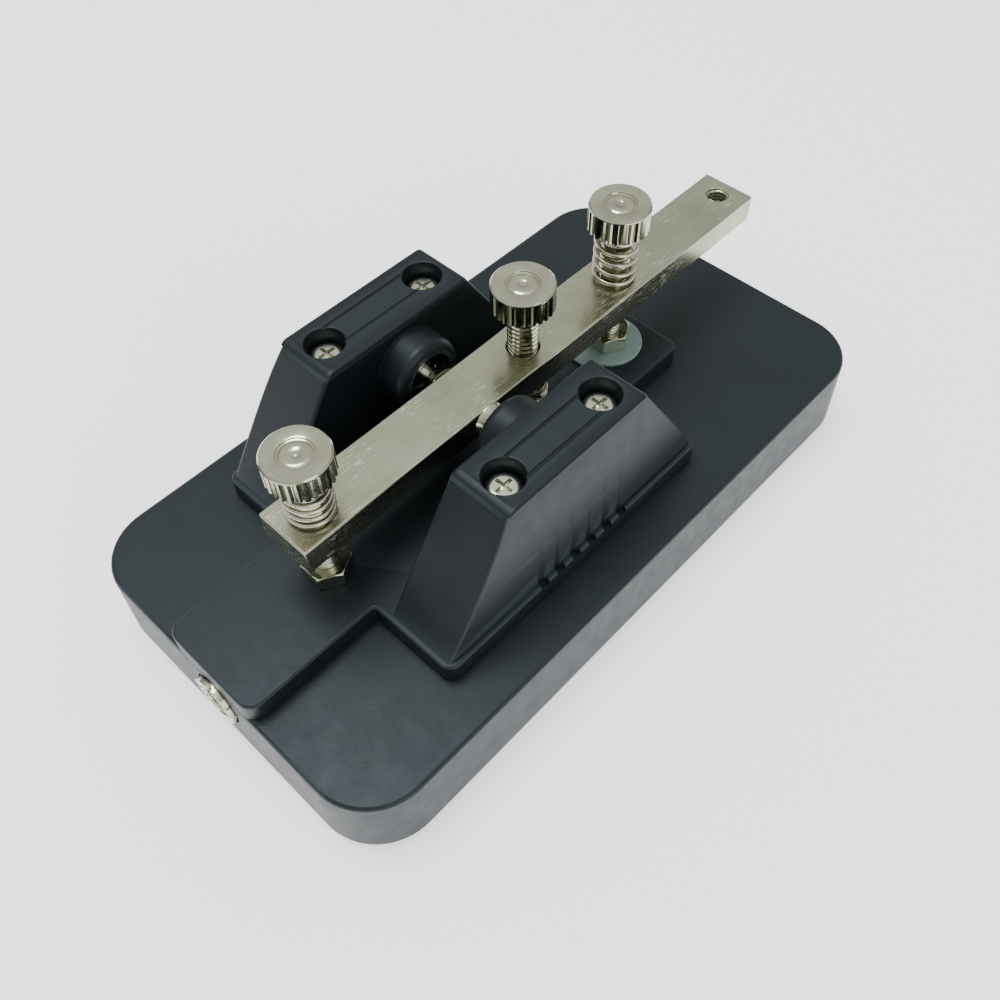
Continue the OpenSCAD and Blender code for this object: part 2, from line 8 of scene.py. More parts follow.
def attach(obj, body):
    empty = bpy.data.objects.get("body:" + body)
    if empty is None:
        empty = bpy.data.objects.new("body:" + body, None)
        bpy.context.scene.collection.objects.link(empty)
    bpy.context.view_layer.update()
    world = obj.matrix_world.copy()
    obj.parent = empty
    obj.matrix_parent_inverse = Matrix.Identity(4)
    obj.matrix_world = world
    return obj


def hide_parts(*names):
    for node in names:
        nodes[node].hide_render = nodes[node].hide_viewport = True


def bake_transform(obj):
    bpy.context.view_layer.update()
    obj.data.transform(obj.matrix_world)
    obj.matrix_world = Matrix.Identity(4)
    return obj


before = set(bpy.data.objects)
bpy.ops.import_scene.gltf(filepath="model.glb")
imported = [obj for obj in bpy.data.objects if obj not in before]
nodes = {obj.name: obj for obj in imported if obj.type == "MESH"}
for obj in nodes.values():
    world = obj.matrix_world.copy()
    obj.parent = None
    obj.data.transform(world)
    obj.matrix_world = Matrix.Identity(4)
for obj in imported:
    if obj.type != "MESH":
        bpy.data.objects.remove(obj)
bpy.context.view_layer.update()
scene = bpy.context.scene
mm = 0.001
print("frame loaded")

# The camera stands behind the left side and looks down on the key
camera = {"place": (-59.905, 61.385, 116.692), "azimuth": 224.67, "elevation": 54.01, "roll": -1.466,
    "lens": 35.55}


def aimCamera(values):
    a, e, r = (math.radians(values[key]) for key in ("azimuth", "elevation", "roll"))
    right = Vector((math.cos(a), math.sin(a), 0))
    back = Vector((math.sin(a) * math.cos(e), -math.cos(a) * math.cos(e), math.sin(e)))
    up = back.cross(right)
    across = math.cos(r) * right + math.sin(r) * up
    upward = math.cos(r) * up - math.sin(r) * right
    turned = Matrix((across, upward, back)).transposed().to_4x4()
    data = bpy.data.cameras.new("camera")
    data.lens = values["lens"]
    data.sensor_width = 36
    data.clip_start = 0.005
    obj = bpy.data.objects.new("camera", data)
    scene.collection.objects.link(obj)
    obj.matrix_world = Matrix.Translation(Vector(values["place"]) * mm) @ turned
    scene.camera = obj


aimCamera(camera)


def linearColor(code):
    channels = [int(code[i:i + 2], 16) / 255 for i in (1, 3, 5)]
    return [c / 12.92 if c <= 0.04045 else ((c + 0.055) / 1.055) ** 2.4 for c in channels] + [1]


# Adds a node; settings are its properties or its inputs' values, and links are what its inputs take
def addNode(tree, kind, settings=None, links=None):
    node = tree.nodes.new(kind)
    for key, value in (settings or {}).items():
        if isinstance(key, str) and hasattr(node, key):
            setattr(node, key, value)
        else:
            node.inputs[key].default_value = value
    for key, source in (links or {}).items():
        if isinstance(source, bpy.types.Node):
            source = source.outputs[0]
        tree.links.new(source, node.inputs[key])
    return node


def startMaterial(name, settings):
    material = bpy.data.materials.new(name)
    material.use_nodes = True
    tree = material.node_tree
    tree.nodes.clear()
    shader = addNode(tree, "ShaderNodeBsdfPrincipled", settings)
    addNode(tree, "ShaderNodeOutputMaterial", links={"Surface": shader})
    coords = addNode(tree, "ShaderNodeTexCoord").outputs["Object"]
    return material, tree, shader, coords


# A noise between two values, with blobs of one size in millimetres, stretched along an axis if asked
def patches(tree, coords, size, low, high, stretch=(1, 1, 1), detail=3, sharp=0.5):
    scale = [1 / (size * mm * s) for s in stretch]
    scaled = addNode(tree, "ShaderNodeMapping", {"Scale": scale}, {"Vector": coords})
    noise = addNode(tree, "ShaderNodeTexNoise", {"Scale": 1, "Detail": detail}, {"Vector": scaled})
    return addNode(tree, "ShaderNodeMapRange",
        {"From Min": 0.5 - sharp / 2, "From Max": 0.5 + sharp / 2, "To Min": low, "To Max": high},
        {"Value": noise.outputs["Fac"]}).outputs["Result"]


def mixColors(tree, share, first, second):
    mix = addNode(tree, "ShaderNodeMix", {"data_type": "RGBA", "clamp_factor": True}, {0: share})
    for index, source in ((6, first), (7, second)):
        if isinstance(source, str):
            mix.inputs[index].default_value = linearColor(source)
        else:
            tree.links.new(source, mix.inputs[index])
    return mix.outputs[2]


def addBumps(tree, shader, layers):
    normal = None
    for height, strength, depth in layers:
        settings = {"Strength": strength, "Distance": depth * mm}
        bump = addNode(tree, "ShaderNodeBump", settings, {"Height": height})
        if normal:
            tree.links.new(normal, bump.inputs["Normal"])
        normal = bump.outputs["Normal"]
    tree.links.new(normal, shader.inputs["Normal"])


# Injection-moulded ABS: a spark-eroded mould leaves a fine grain, which scatters the gloss into a satin
def mouldedAbs(name, colour, values):
    material, tree, shader, coords = startMaterial(name,
        {"IOR": 1.54, "Specular IOR Level": values["gloss"], "Specular Tint": linearColor(values["tint"])})
    # the real grain is about 0.1 mm; it is drawn at 0.25 mm so that it shows
    grain = patches(tree, coords, 0.25, 0, 1, detail=2)
    flow = patches(tree, coords, 9, 0, 1, detail=4)
    rubbed = patches(tree, coords, 2.2, -0.05, 0.06, detail=5)
    scuff = addNode(tree, "ShaderNodeMapRange", {"From Min": 0.62, "From Max": 0.72, "To Max": 0.25},
        {"Value": patches(tree, coords, 0.3, 0, 1, stretch=(1, 9, 9), detail=2, sharp=1)})
    # sharp edges are mixed toward a lighter grey: partly edge wear, partly a painted highlight along the
    # edges
    sharp = addNode(tree, "ShaderNodeNewGeometry").outputs["Pointiness"]
    edge = addNode(tree, "ShaderNodeMapRange", {"From Min": 0.52, "From Max": 0.6, "To Max": values["edge"]},
        {"Value": sharp})
    mottled = mixColors(tree, flow, colour[0], colour[1])
    fine = mixColors(tree, addNode(tree, "ShaderNodeMath", {"operation": "MULTIPLY", 1: 0.5}, {0: grain}),
        mottled, colour[2])
    scuffed = mixColors(tree, scuff, fine, colour[2])
    tree.links.new(mixColors(tree, edge, scuffed, colour[3]), shader.inputs["Base Color"])
    rough = addNode(tree, "ShaderNodeMath", {"operation": "ADD", 1: values["rough"]}, {0: rubbed})
    tree.links.new(rough.outputs[0], shader.inputs["Roughness"])
    addBumps(tree, shader, [(grain, 0.5, values["grain"]), (flow, 0.3, 0.03)])
    return material


# Nickel plate on turned steel: warm grey mirror, softened by the turning under it and by handling
def nickelPlate(name, colour, roughness, scratches=0.5, along=(1, 1, 1), lineSize=0.25):
    material, tree, shader, coords = startMaterial(name, {"Metallic": 1})
    cloud = patches(tree, coords, 2.5, 0, 1, detail=4)
    lines = patches(tree, coords, lineSize, 0, 1, stretch=along, detail=2)
    tree.links.new(mixColors(tree, cloud, colour[0], colour[1]), shader.inputs["Base Color"])
    smear = addNode(tree, "ShaderNodeMapRange", {"To Min": roughness - 0.06, "To Max": roughness + 0.08},
        {"Value": patches(tree, coords, 1.3, 0, 1, detail=5)})
    tree.links.new(smear.outputs["Result"], shader.inputs["Roughness"])
    addBumps(tree, shader, [(lines, scratches, 0.004), (cloud, 0.15, 0.02)])
    return material


# Satin nickel on a milled bar: lines run lengthwise, with a few deeper drag marks from the plating rack
def satinNickel(name, colour, values):
    material, tree, shader, coords = startMaterial(name, {"Metallic": 1})
    cloud = patches(tree, coords, 6, 0, 1, detail=4)
    lines = patches(tree, coords, values["line"], 0, 1, stretch=(1, values["lineStretch"], 1), detail=3)
    streaks = patches(tree, coords, values["mark"], 0, 1, stretch=(1, values["markStretch"], 1), detail=1,
        sharp=1)
    marks = addNode(tree, "ShaderNodeMapRange",
        {"From Min": values["markFrom"], "From Max": values["markFrom"] + 0.05}, {"Value": streaks})
    where = addNode(tree, "ShaderNodeMapRange", {"From Min": 0.5, "From Max": 0.62},
        {"Value": patches(tree, coords, 7, 0, 1, detail=2, sharp=1)})
    marked = addNode(tree, "ShaderNodeMath", {"operation": "MULTIPLY"},
        {0: marks.outputs["Result"], 1: where.outputs["Result"]})
    base = mixColors(tree, cloud, colour[0], colour[1])
    tree.links.new(mixColors(tree, marked.outputs[0], base, colour[2]), shader.inputs["Base Color"])
    rough = addNode(tree, "ShaderNodeMapRange",
        {"To Min": values["rough"] - 0.05, "To Max": values["rough"] + 0.07}, {"Value": lines})
    tree.links.new(rough.outputs["Result"], shader.inputs["Roughness"])
    addBumps(tree, shader, [(lines, 0.15, 0.006), (marked.outputs[0], 0.6, -0.02)])
    return material


# Any plainer finish: one colour with soft patches, and a fine surface grain
def plainFinish(name, colours, roughness, grain, metallic=0.0, depth=0.01, patch=3.0):
    material, tree, shader, coords = startMaterial(name, {"Metallic": metallic})
    cloud = patches(tree, coords, patch, 0, 1, detail=4)
    fine = patches(tree, coords, grain, 0, 1, detail=2)
    tree.links.new(mixColors(tree, cloud, colours[0], colours[1]), shader.inputs["Base Color"])
    rough = addNode(tree, "ShaderNodeMapRange",
        {"To Min": roughness - 0.05, "To Max": roughness + 0.05}, {"Value": cloud})
    tree.links.new(rough.outputs["Result"], shader.inputs["Roughness"])
    addBumps(tree, shader, [(fine, 0.4, depth)])
    return material


finishes = {
    "baseAbs": mouldedAbs("moulded ABS, spark-eroded satin", ("#101518", "#151b1f", "#1e262a", "#3c464a"),
        {"rough": 0.42, "grain": 0.014, "edge": 0.4, "gloss": 0.33, "tint": "#dfeef6"}),
    "pillarAbs": mouldedAbs("moulded ABS, smoother satin", ("#0c1013", "#101619", "#171e22", "#3a4448"),
        {"rough": 0.42, "grain": 0.008, "edge": 0.5, "gloss": 0.33, "tint": "#dfeef6"}),
    "nickel": nickelPlate("nickel plate, turned", ("#c4c5ad", "#adae98"), 0.14),
    "springNickel": nickelPlate("nickel-plated spring wire, drawn", ("#c9c4b4", "#b0ac9c"), 0.18, 0.3),
    "lever": satinNickel("satin nickel on milled bar", ("#b4b69f", "#a1a38d", "#e2e4d0"),
        {"line": 0.16, "lineStretch": 30, "mark": 0.2, "markStretch": 9, "markFrom": 0.62, "rough": 0.24}),
    "zinc": nickelPlate("bright zinc plate, cold headed", ("#d6d8c8", "#bcbeb0"), 0.26, 0.6),
    "chromate": plainFinish("dull zinc chromate, stamped", ("#8ea5a3", "#7f9690"), 0.5, 0.2, 0.35, 0.008),
    "brass": plainFinish("brass, turned", ("#b59a55", "#9c8446"), 0.3, 0.2, 1.0, 0.004),
    "ground": nickelPlate("bearing steel, ground", ("#b4b6b8", "#9a9da0"), 0.16, 0.4),
    "powder": plainFinish("powder-coated steel", ("#1c1d1f", "#26272a"), 0.5, 0.4, 0.0, 0.03),
    "rubber": plainFinish("moulded rubber", ("#141415", "#1d1d1e"), 0.75, 0.3, 0.0, 0.02),
    "nylon": plainFinish("moulded nylon", ("#151618", "#1c1d20"), 0.38, 0.3, 0.0, 0.01),
    "redPvc": plainFinish("PVC insulation, red", ("#8f1d18", "#a52a22"), 0.4, 0.3, 0.0, 0.01),
    "blackPvc": plainFinish("PVC insulation, black", ("#161617", "#1f1f21"), 0.4, 0.3, 0.0, 0.01),
}
print("materials made")


# Gives a mesh its finish and its normals; flat areas stay flat beside the rounded edges
def dress(mesh, finish, angle=35):
    mesh.materials.clear()
    mesh.materials.append(finishes[finish])
    mesh.polygons.foreach_set("use_smooth", [True] * len(mesh.polygons))
    mesh.polygons.foreach_set("material_index", [0] * len(mesh.polygons))
    mesh.set_sharp_from_angle(angle=math.radians(angle))
    mesh.update()


def meshFrom(bm, name):
    mesh = bpy.data.meshes.new(name)
    bm.to_mesh(mesh)
    bm.free()
    return mesh


def addObject(name, mesh):
    obj = bpy.data.objects.new(name, mesh)
    scene.collection.objects.link(obj)
    return obj


# Turns an object's modifiers into a plain mesh
def bake(obj):
    bpy.context.view_layer.update()
    evaluated = obj.evaluated_get(bpy.context.evaluated_depsgraph_get())
    mesh = bpy.data.meshes.new_from_object(evaluated)
    obj.modifiers.clear()
    obj.data = mesh
    return obj


# Hands a finished piece to the frame: what it rides on, its finish and what it stands for
def settle(obj, body, finish, replaced=(), angle=35, ride=True):
    dress(obj.data, finish, angle)
    weighted = obj.modifiers.new("normals", "WEIGHTED_NORMAL")
    weighted.keep_sharp = True
    bake(obj)
    obj.data.materials.clear()
    obj.data.materials.append(finishes[finish])
    if ride:
        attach(obj, body)
    if replaced:
        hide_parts(*replaced)
    return obj


# Walls between rings of points, closed at both ends
def loft(bm, rings):
    rows = [[bm.verts.new(Vector(p) * mm) for p in ring] for ring in rings]
    count = len(rows[0])
    for low, high in zip(rows, rows[1:]):
        for i in range(count):
            j = (i + 1) % count
            bm.faces.new((low[i], low[j], high[j], high[i]))
    bm.faces.new(list(reversed(rows[0])))
    bm.faces.new(rows[-1])


# A closed outline with rounded corners, moved inwards by an inset; corners run anticlockwise
def outline(corners, radii, inset, z, steps=8):
    points = []
    for i, corner in enumerate(corners):
        here = Vector(corner)
        before = (here - Vector(corners[i - 1])).normalized()
        after = (Vector(corners[(i + 1) % len(corners)]) - here).normalized()
        sideBefore = Vector((-before.y, before.x))
        sideAfter = Vector((-after.y, after.x))
        turn = math.atan2(before.x * after.y - before.y * after.x, before.dot(after))
        moved = here + (sideBefore + sideAfter) * inset / (1 + sideBefore.dot(sideAfter))
        bend = 1 if turn > 0 else -1
        radius = max(radii[i] - bend * inset, 0.02)
        start = moved - before * radius * math.tan(abs(turn) / 2)
        centre = start + sideBefore * radius * bend
        for step in range(steps + 1):
            arm = start - centre
            arm.rotate(Matrix.Rotation(turn * step / steps, 2))
            points.append((centre.x + arm.x, centre.y + arm.y, z))
    return points


# Fillet levels from a wall into a flat top: pairs of height and inset
def filletLevels(top, radius, inset=0.0, steps=5):
    return [(top - radius + radius * math.sin(a), inset + radius * (1 - math.cos(a)))
        for a in (math.pi / 2 * i / steps for i in range(steps + 1))]


# A solid turned from a profile of radius and height, about an upright axis
def lathe(bm, profile, centre=(0, 0), steps=64, alongX=None):
    rows = []
    for radius, height in profile:
        count = 1 if radius == 0 else steps
        row = []
        for i in range(count):
            a = 2 * math.pi * i / steps
            if alongX is None:
                place = (centre[0] + radius * math.cos(a), centre[1] + radius * math.sin(a), height)
            else:
                place = (height * alongX, centre[0] - alongX * radius * math.cos(a),
                    centre[1] + radius * math.sin(a))
            row.append(bm.verts.new(Vector(place) * mm))
        rows.append(row)
    for low, high in zip(rows, rows[1:]):
        for i in range(steps):
            j = (i + 1) % steps
            corners = [low[i % len(low)], low[j % len(low)], high[j % len(high)], high[i % len(high)]]
            unique = list(dict.fromkeys(corners))
            if len(unique) > 2:
                bm.faces.new(unique)


def latheObject(name, profile, centre=(0, 0), steps=64, alongX=None):
    bm = bmesh.new()
    lathe(bm, profile, centre, steps, alongX)
    bmesh.ops.recalc_face_normals(bm, faces=bm.faces)
    return addObject(name, meshFrom(bm, name))


def boxObject(name, low, high):
    bm = bmesh.new()
    bmesh.ops.create_cube(bm, size=1)
    for v in bm.verts:
        v.co = Vector([(low[i] if v.co[i] < 0 else high[i]) * mm for i in range(3)])
    return addObject(name, meshFrom(bm, name))


# Adds or cuts other solids, then discards them
def combine(obj, others, operation):
    for other in others:
        change = obj.modifiers.new("cut", "BOOLEAN")
        change.operation = operation
        change.solver = "EXACT"
        change.object = other
    bake(obj)
    for other in others:
        bpy.data.objects.remove(other)
    return obj


def joinAll(name, parts):
    bm = bmesh.new()
    for part in parts:
        bm.from_mesh(part.data)
        bpy.data.objects.remove(part)
    return addObject(name, meshFrom(bm, name))


# A copy of a CAD node with its sharp edges rounded
def softCopy(node, name, width, segments=2):
    bm = bmesh.new()
    bm.from_mesh(nodes[node].data)
    bmesh.ops.remove_doubles(bm, verts=bm.verts, dist=1e-7)
    bmesh.ops.dissolve_limit(bm, angle_limit=math.radians(0.5), verts=bm.verts, edges=bm.edges)
    obj = addObject(name, meshFrom(bm, name))
    bevel = obj.modifiers.new("round", "BEVEL")
    bevel.width = width * mm
    bevel.segments = segments
    bevel.limit_method = "ANGLE"
    bevel.angle_limit = math.radians(40)
    return bake(obj)


# One geometry node tree winds a wire or a thread: it climbs between two heights, and its end turns
# can lie closed and thin out
def windingTree():
    tree = bpy.data.node_groups.new("winding", "GeometryNodeTree")
    tree.interface.new_socket("Geometry", in_out="OUTPUT", socket_type="NodeSocketGeometry")
    for name, kind in (("Place", "Vector"), ("Radius", "Float"), ("Wire", "Float"), ("Turns", "Float"),
            ("Low", "Float"), ("High", "Float"), ("Closed", "Float"), ("Taper", "Float"),
            ("Sides", "Int"), ("Steps", "Int"), ("Finish", "Material")):
        tree.interface.new_socket(name, in_out="INPUT", socket_type="NodeSocket" + kind)
    given = addNode(tree, "NodeGroupInput").outputs

    def sums(operation, first, second):
        node = addNode(tree, "ShaderNodeMath", {"operation": operation})
        for index, source in enumerate((first, second)):
            if isinstance(source, (int, float)):
                node.inputs[index].default_value = source
            else:
                tree.links.new(source, node.inputs[index])
        return node.outputs[0]

    def ramp(value, fromMin, fromMax, toMin, toMax):
        node = addNode(tree, "ShaderNodeMapRange", {"clamp": True})
        for index, source in enumerate((value, fromMin, fromMax, toMin, toMax)):
            if isinstance(source, (int, float)):
                node.inputs[index].default_value = source
            else:
                tree.links.new(source, node.inputs[index])
        return node.outputs[0]

    spiral = addNode(tree, "GeometryNodeCurveSpiral", {"Height": 0.0},
        {"Resolution": given["Steps"], "Rotations": given["Turns"], "Start Radius": given["Radius"],
            "End Radius": given["Radius"]})
    share = addNode(tree, "GeometryNodeSplineParameter").outputs["Factor"]
    endShare = sums("DIVIDE", given["Closed"], given["Turns"])
    farShare = sums("SUBTRACT", 1.0, endShare)
    seat = sums("MULTIPLY", sums("MULTIPLY", given["Wire"], 2.0), given["Closed"])
    bottom = sums("ADD", given["Low"], given["Wire"])
    rise = sums("SUBTRACT", sums("SUBTRACT", sums("SUBTRACT", given["High"], given["Wire"]), bottom),
        sums("MULTIPLY", seat, 2.0))
    height = sums("ADD", sums("ADD", sums("ADD", bottom, ramp(share, 0.0, endShare, 0.0, seat)),
        ramp(share, endShare, farShare, 0.0, rise)), ramp(share, farShare, 1.0, 0.0, seat))
    place = addNode(tree, "ShaderNodeSeparateXYZ", links={0: addNode(tree, "GeometryNodeInputPosition")})
    there = addNode(tree, "ShaderNodeCombineXYZ",
        links={0: place.outputs[0], 1: place.outputs[1], 2: height})
    raised = addNode(tree, "GeometryNodeSetPosition", links={"Geometry": spiral, "Position": there})
    upright = addNode(tree, "GeometryNodeSetCurveNormal", {"mode": "Z_UP"}, {"Curve": raised})
    fade = sums("DIVIDE", given["Taper"], given["Turns"])
    thin = sums("MINIMUM", ramp(share, 0.0, fade, 0.02, 1.0),
        ramp(share, sums("SUBTRACT", 1.0, fade), 1.0, 1.0, 0.02))
    sized = addNode(tree, "GeometryNodeSetCurveRadius", links={"Curve": upright, "Radius": thin})
    section = addNode(tree, "GeometryNodeCurvePrimitiveCircle",
        links={"Resolution": given["Sides"], "Radius": given["Wire"]})
    swept = addNode(tree, "GeometryNodeCurveToMesh", {"Fill Caps": True},
        {"Curve": sized, "Profile Curve": section})
    moved = addNode(tree, "GeometryNodeTransform", links={"Geometry": swept, "Translation": given["Place"]})
    real = addNode(tree, "GeometryNodeRealizeInstances", links={"Geometry": moved})
    finish = addNode(tree, "GeometryNodeSetMaterial", links={"Geometry": real, "Material": given["Finish"]})
    addNode(tree, "NodeGroupOutput", links={0: finish})
    return tree


# Another stands ribs round a circle, for a knurled rim
def ribTree():
    tree = bpy.data.node_groups.new("ribs", "GeometryNodeTree")
    tree.interface.new_socket("Geometry", in_out="OUTPUT", socket_type="NodeSocketGeometry")
    for name, kind in (("Place", "Vector"), ("Count", "Int"), ("Ring", "Float"), ("Thick", "Float"),
            ("Wide", "Float"), ("Height", "Float"), ("Finish", "Material")):
        tree.interface.new_socket(name, in_out="INPUT", socket_type="NodeSocket" + kind)
    given = addNode(tree, "NodeGroupInput").outputs
    ring = addNode(tree, "GeometryNodeMeshCircle",
        links={"Vertices": given["Count"], "Radius": given["Ring"]})
    sides = 8
    rib = addNode(tree, "GeometryNodeMeshCylinder", {"Vertices": sides, "Radius": 1.0, "Side Segments": 1},
        {"Depth": given["Height"]})
    turned = addNode(tree, "GeometryNodeTransform", {"Rotation": (0, 0, math.pi / sides)},
        {"Geometry": rib.outputs["Mesh"]})
    spread = addNode(tree, "ShaderNodeCombineXYZ", {2: 1.0}, {0: given["Thick"], 1: given["Wide"]})
    shaped = addNode(tree, "GeometryNodeTransform", links={"Geometry": turned, "Scale": spread})
    place = addNode(tree, "ShaderNodeSeparateXYZ", links={0: addNode(tree, "GeometryNodeInputPosition")})
    angle = addNode(tree, "ShaderNodeMath", {"operation": "ARCTAN2"},
        {0: place.outputs[1], 1: place.outputs[0]})
    turn = addNode(tree, "ShaderNodeCombineXYZ", links={2: angle})
    turnTo = addNode(tree, "FunctionNodeEulerToRotation", links={0: turn})
    placed = addNode(tree, "GeometryNodeInstanceOnPoints",
        links={"Points": ring, "Instance": shaped, "Rotation": turnTo})
    moved = addNode(tree, "GeometryNodeTransform", links={"Geometry": placed, "Translation": given["Place"]})
    real = addNode(tree, "GeometryNodeRealizeInstances", links={"Geometry": moved})
    finish = addNode(tree, "GeometryNodeSetMaterial", links={"Geometry": real, "Material": given["Finish"]})
    addNode(tree, "NodeGroupOutput", links={0: finish})
    return tree


trees = {"winding": windingTree(), "ribs": ribTree()}


def grow(name, treeName, values):
    obj = addObject(name, bpy.data.meshes.new(name))
    modifier = obj.modifiers.new("shape", "NODES")
    modifier.node_group = trees[treeName]
    for item in trees[treeName].interface.items_tree:
        if item.in_out == "INPUT" and item.name in values:
            modifier[item.identifier] = values[item.name]
    return bake(obj)


# Pitches of M4 and M3 threads
coarsePitch, finePitch = 0.7, 0.5


# A rolled thread between two heights; its crest is at the given radius
def thread(name, y, low, high, radius, pitch, finish):
    wire = 0.42 * pitch
    return grow(name, "winding", {"Place": (0, y * mm, 0), "Radius": (radius - wire) * mm,
        "Wire": wire * mm, "Turns": (high - low - 2 * wire) / pitch, "Low": low * mm, "High": high * mm,
        "Closed": 0.0001, "Taper": 0.35, "Sides": 8, "Steps": 40, "Finish": finishes[finish]})


def coil(name, y, low, high, radius, wire, turns, finish):
    return grow(name, "winding", {"Place": (0, y * mm, 0), "Radius": radius * mm, "Wire": wire * mm,
        "Turns": turns, "Low": low * mm, "High": high * mm, "Closed": 0.8, "Taper": 0.02,
        "Sides": 14, "Steps": 56, "Finish": finishes[finish]})


base = {"width": 54, "length": 99, "corner": 8.5, "low": 1, "top": 12, "platform": 15.2, "topFillet": 0.6,
    "draft": 0.3, "platformFillet": 0.45, "rim": 1.2, "rimTop": 2.5, "band": 8, "bandFront": -28.5,
    "ledge": 20.7, "ledgeFront": -16, "ledgeRear": 30.4, "platformCorner": 1.6, "innerCorner": 0.4,
    "endCorner": 2.2, "boltHole": 1.6, "jackZ": 8.2, "jackHole": 2.52, "nutRecess": 3.75, "nutDeep": 0.8}
flutes = {"x": 20.35, "middle": 7, "pitch": 2.9, "count": 6, "radius": 0.75, "low": 14.4, "top": 27}
screwPlaces = [(s * 14.8, y) for s in (-1, 1) for y in (-1.1, 15.1)]
boltPlaces = {"contact": -21.8, "tension": -4, "gap": 30.6}
pivot = (6.4, 25.6)


def fluteCutters(side):
    first = flutes["middle"] - (flutes["count"] - 1) / 2 * flutes["pitch"]
    r, low, top = flutes["radius"], flutes["low"], flutes["top"]
    profile = [(0, low), (r, low), (r, top - 2), (r * 0.8, top - 0.8), (0, top)]
    return [latheObject("flute", profile, (side * flutes["x"], first + i * flutes["pitch"]), 20)
        for i in range(flutes["count"])]


def buildBase():
    v = base
    w, l = v["width"] / 2, v["length"] / 2
    corners = [(-w, -l), (w, -l), (w, l), (-w, l)]
    levels = [(v["rimTop"], v["rim"]), (v["low"], v["rim"]), (v["low"], 0.3), (v["low"] + 0.3, 0.0)]
    levels += filletLevels(v["top"], v["topFillet"], v["draft"])
    bm = bmesh.new()
    loft(bm, [outline(corners, [v["corner"]] * 4, inset, z, 16) for z, inset in levels])
    body = addObject("baseMoulding", meshFrom(bm, "baseMoulding"))
    b, e, front, rear = v["band"], v["ledge"], v["ledgeFront"], v["ledgeRear"]
    end = l - v["draft"] - 0.05
    shape = [(b, v["bandFront"]), (b, front), (e, front), (e, rear), (b, rear), (b, end),
        (-b, end), (-b, rear), (-e, rear), (-e, front), (-b, front), (-b, v["bandFront"])]
    c, inner, last = v["platformCorner"], v["innerCorner"], v["endCorner"]
    radii = [c, inner, c, c, inner, last, last, inner, c, c, inner, c]
    bm = bmesh.new()
    steps = [(v["top"] - 1.5, 0.0)] + filletLevels(v["platform"], v["platformFillet"], 0.05)
    loft(bm, [outline(shape, radii, inset, z, 6) for z, inset in steps])
    combine(body, [addObject("platform", meshFrom(bm, "platform"))], "UNION")
    cutters = fluteCutters(-1) + fluteCutters(1)
    below, above, r = v["top"] - 1, v["platform"] + 0.8, v["boltHole"]
    for y in boltPlaces.values():
        cutters.append(latheObject("boltHole", [(0, below), (r, below), (r, above), (0, above)], (0, y), 32))
    inside, floor, out, r, wide = 36, l - v["nutDeep"], l + 1, v["jackHole"], v["nutRecess"]
    jack = latheObject("jackHole",
        [(0, inside), (r, inside), (r, floor), (wide, floor), (wide, out), (0, out)], steps=64)
    jack.data.transform(Matrix.Translation((0, 0, v["jackZ"] * mm)) @ Matrix.Rotation(-math.pi / 2, 4, "X"))
    cutters.append(jack)
    combine(body, cutters, "DIFFERENCE")
    settle(body, "base", "baseAbs", ("base_shell",))


pillar = {"inner": 10.2, "outer": 19.9, "lean": 0.9, "foot": 15.2, "top": 32.2, "lip": 0.5, "lipOut": 0.35,
    "footRear": 29.6, "footFront": -15.2, "topRear": 18.5, "topFront": -4.5, "rearRound": 2.0,
    "frontRound": 0.8, "edge": 0.4, "corner": 0.5, "bossFace": 6, "bossRadius": 5.0, "bossRound": 1.2,
    "well": 2.5, "wellFloor": 28.8, "strip": (13.15, 16.75), "stripFront": 0.2, "stripRear": 13.8,
    "grooveRadius": 0.26}


# Where the pillar's sloping end meets a height, its upper edge rounded off
def slopeAt(z, footY, topY, radius):
    v = pillar
    rise, run = v["top"] - v["foot"], topY - footY
    slope = run / rise
    inward = 1 if run > 0 else -1
    angle = math.atan2(rise, abs(run))
    reach = radius * math.tan(angle / 2)
    centreY, centreZ = topY + inward * reach, v["top"] - radius
    startZ = centreZ + radius * math.cos(angle)
    if z <= startZ:
        return footY + slope * (z - v["foot"])
    return centreY - inward * math.sqrt(max(radius ** 2 - (z - centreZ) ** 2, 0))


